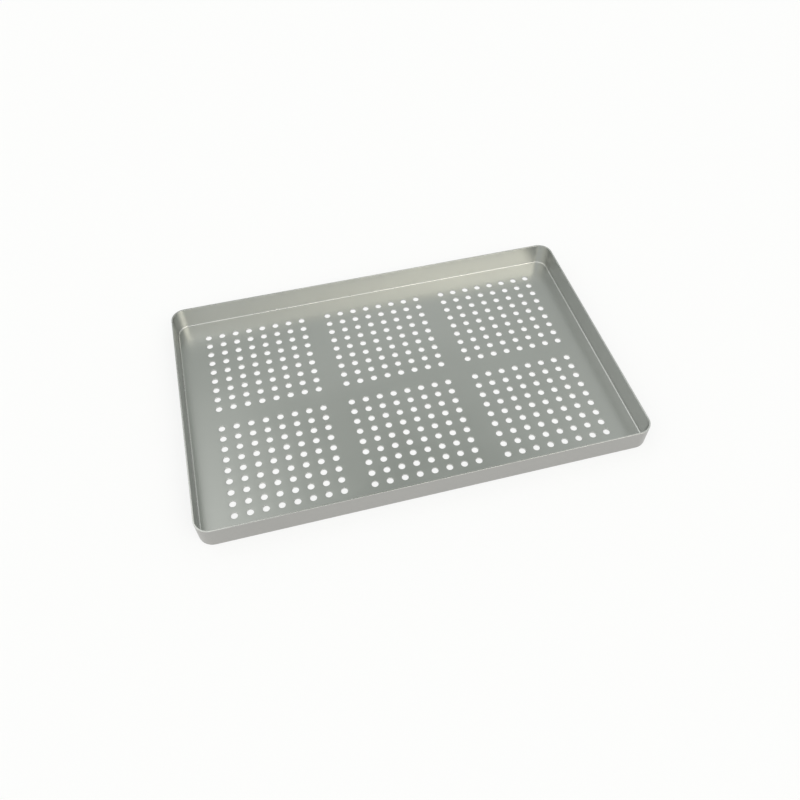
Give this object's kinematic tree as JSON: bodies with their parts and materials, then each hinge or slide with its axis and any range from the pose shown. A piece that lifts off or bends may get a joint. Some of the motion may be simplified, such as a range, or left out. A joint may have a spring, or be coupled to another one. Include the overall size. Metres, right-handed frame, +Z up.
{
  "type": "instrument tray",
  "caption": "Shallow rectangular instrument tray pressed from one aluminium sheet, with upright walls, rounded corners and a floor perforated in rectangular blocks of round drain holes.",
  "frame": {"origin": "centre of the tray's underside, on the surface that it stands on", "axes": "+X along the length, +Y along the width, +Z up towards the open side"},
  "size_m": [0.284, 0.183, 0.017],
  "materials": {
    "anodised_sheet": "satin anodised"
  },
  "bodies": {
    "root": {"tray": "anodised_sheet"}
  },
  "joints": []
}
